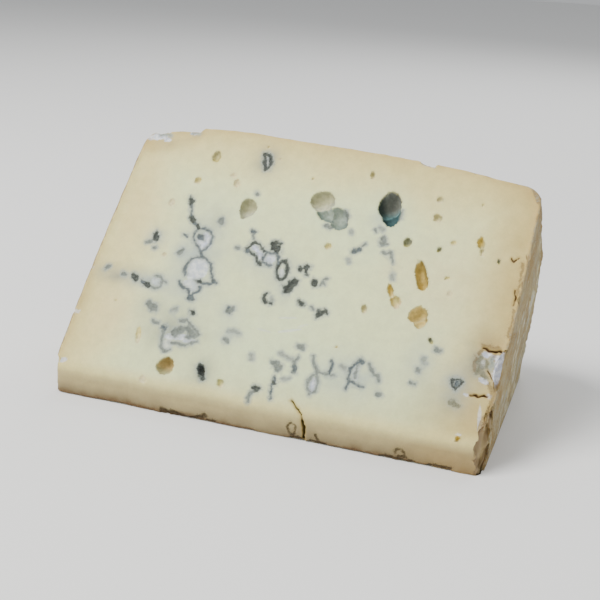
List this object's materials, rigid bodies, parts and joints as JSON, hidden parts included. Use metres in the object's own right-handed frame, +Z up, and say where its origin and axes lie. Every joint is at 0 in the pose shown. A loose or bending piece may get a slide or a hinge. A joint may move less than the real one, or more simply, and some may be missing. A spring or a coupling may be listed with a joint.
{
  "type": "blue cheese wedge",
  "caption": "Wedge of firm blue cheese lying on one cut face, with a curved natural rind behind and eyes and blue mould in its upper cut face.",
  "frame": {"origin": "middle of the bounding box at its bottom, on the surface the wedge lies on", "axes": "+X along the wheel's axis, from one flat rind face to the other, the longest side; +Y from the blunt nose to the rim; +Z up, the shortest side"},
  "size_m": [0.1496, 0.1018, 0.0833],
  "materials": {
    "cheese": "waxy ivory paste with a dry natural rind"
  },
  "bodies": {
    "root": {"cheese_wedge": "cheese"}
  },
  "joints": []
}
